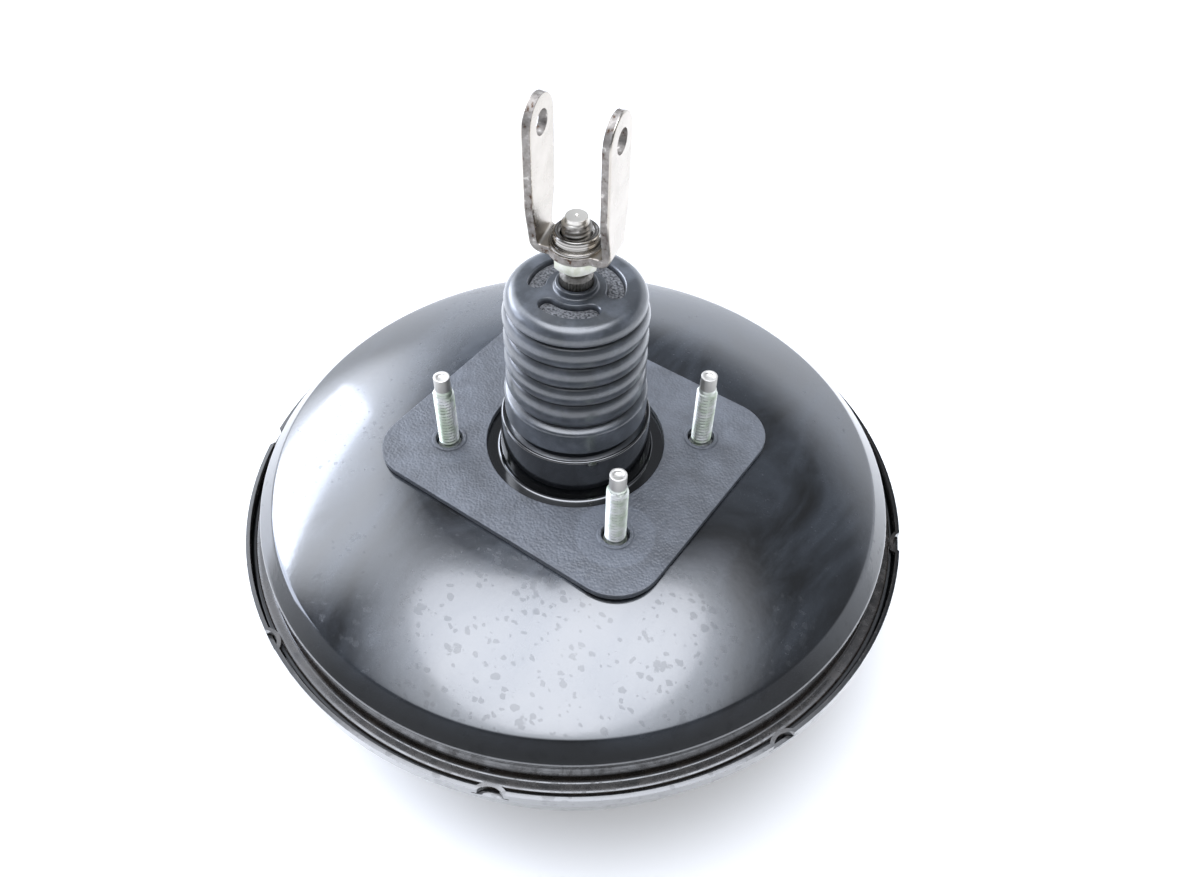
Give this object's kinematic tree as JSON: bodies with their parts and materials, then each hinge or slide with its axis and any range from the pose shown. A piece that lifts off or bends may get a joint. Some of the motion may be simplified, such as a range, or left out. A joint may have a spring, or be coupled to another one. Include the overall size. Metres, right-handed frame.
{
  "type": "brake booster",
  "caption": "Vacuum brake booster: stepped round pressed shells, square firewall gasket with studs, ribbed boot, push rod and clevis.",
  "frame": {"origin": "centre of the front shell's crown ring, on the plane the booster stands on when put down front first", "axes": "+Z along the booster's axis towards the pedal; +X along the wider spacing of the firewall studs; +Y along the narrower spacing"},
  "size_m": [0.2688, 0.2688, 0.2458],
  "materials": {
    "black_enamel": "gloss black enamel",
    "plain_steel": "plain pressed or turned steel",
    "yellow_zinc_steel": "yellow chromated zinc",
    "gasket_board": "matt grained gasket board",
    "black_rubber": "satin moulded rubber",
    "white_acetal": "moulded acetal",
    "black_plastic": "moulded nylon",
    "phenolic": "moulded phenolic",
    "spring_steel": "oiled spring wire",
    "grey_felt": "pressed felt",
    "foam": "open-cell foam",
    "bright_zinc_steel": "bright zinc plate",
    "pale_zinc_steel": "pale chromated zinc"
  },
  "bodies": {
    "housing": {"front_shell": "black_enamel", "rear_shell": "black_enamel", "rear_reinforcement_plate": "plain_steel", "firewall_stud_1": "yellow_zinc_steel", "firewall_stud_2": "yellow_zinc_steel", "firewall_stud_3": "yellow_zinc_steel", "firewall_stud_4": "yellow_zinc_steel", "firewall_gasket": "gasket_board", "neck_bearing": "white_acetal", "neck_seal": "black_rubber", "seal_retainer": "plain_steel", "front_reinforcement_plate": "plain_steel", "master_cylinder_stud_1": "yellow_zinc_steel", "master_cylinder_stud_2": "yellow_zinc_steel", "front_seal": "black_rubber", "front_seal_retainer": "plain_steel", "check_valve_grommet": "black_rubber", "check_valve_body": "black_plastic", "check_valve_spring": "spring_steel", "diaphragm": "black_rubber", "boot": "black_rubber", "return_spring": "spring_steel"},
    "check_valve_disc": {"check_valve_disc": "black_rubber"},
    "power_piston": {"valve_body": "phenolic", "diaphragm_plate": "plain_steel", "diaphragm_retainer": "plain_steel", "reaction_disc": "black_rubber", "output_rod": "plain_steel", "output_rod_adjuster": "plain_steel", "output_rod_retainer": "plain_steel", "stop_key": "plain_steel", "poppet": "black_rubber", "poppet_retainer": "plain_steel", "poppet_spring": "spring_steel", "silencer": "foam", "air_filter": "grey_felt", "rod_return_spring": "spring_steel"},
    "plunger": {"valve_plunger": "plain_steel"},
    "push_rod": {"input_rod": "bright_zinc_steel", "rod_spring_seat": "plain_steel", "lock_nut": "pale_zinc_steel", "clevis": "bright_zinc_steel", "clevis_boss": "bright_zinc_steel"}
  },
  "joints": [
    {"name": "power_piston_slide", "type": "slide", "parent": "housing", "child": "power_piston", "axis": [0, 0, -1], "range_m": [0, 0.032], "stiffness_N_per_m": 4000, "springref_m": -0.03, "deforming": ["return_spring", "diaphragm", "boot"]},
    {"name": "plunger_slide", "type": "slide", "parent": "power_piston", "child": "plunger", "axis": [0, 0, -1], "range_m": [0, 0.0025], "stiffness_N_per_m": 2000, "springref_m": -0.01, "deforming": ["rod_return_spring"]},
    {"name": "push_rod_swing", "type": "hinge", "parent": "plunger", "child": "push_rod", "pos_m": [0, 0, 0.106], "axis": [0.9744, 0.225, 0], "range_deg": [-3, 3], "stiffness_Nm_per_rad": 2},
    {"name": "check_valve_lift", "type": "slide", "parent": "housing", "child": "check_valve_disc", "axis": [0, 0, -1], "range_m": [0, 0.0018], "stiffness_N_per_m": 150, "springref_m": -0.003, "deforming": ["check_valve_spring"]}
  ]
}
